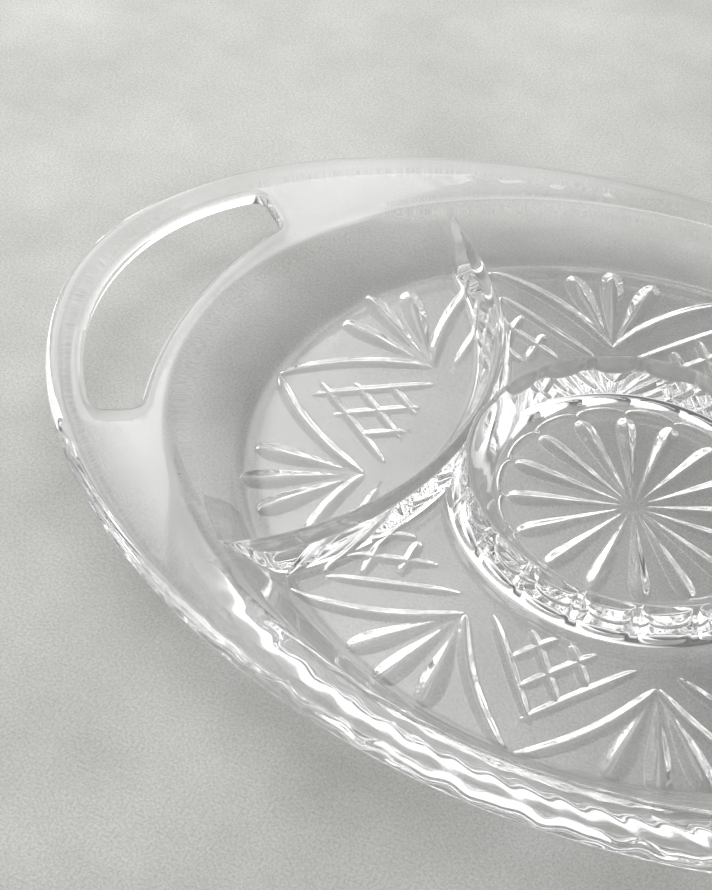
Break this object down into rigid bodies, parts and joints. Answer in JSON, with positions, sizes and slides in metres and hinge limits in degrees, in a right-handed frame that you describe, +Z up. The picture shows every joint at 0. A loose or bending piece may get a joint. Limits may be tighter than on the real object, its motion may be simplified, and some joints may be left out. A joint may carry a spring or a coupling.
{
  "type": "chip and dip server",
  "caption": "Oval clear cut-pattern glass serving tray with slotted handles, curved dividers that part the compartments, and a round raised dip well in the middle.",
  "frame": {"origin": "on the table, under the middle of the dip well", "axes": "+X along the tray's length towards the right handle, +Y towards the back long side, +Z up"},
  "size_m": [0.406, 0.292, 0.0266],
  "materials": {
    "clear_glass": "clear polished pressed glass, with a cut pattern underneath"
  },
  "bodies": {
    "root": {"left_handle": "clear_glass", "right_handle": "clear_glass", "front_rim": "clear_glass", "back_rim": "clear_glass", "left_wall": "clear_glass", "right_wall": "clear_glass", "front_wall": "clear_glass", "back_wall": "clear_glass", "left_front_divider": "clear_glass", "left_back_divider": "clear_glass", "right_front_divider": "clear_glass", "right_back_divider": "clear_glass", "left_compartment_floor": "clear_glass", "right_compartment_floor": "clear_glass", "front_compartment_floor": "clear_glass", "back_compartment_floor": "clear_glass", "dip_well_ring": "clear_glass", "dip_well_floor": "clear_glass"}
  },
  "joints": []
}
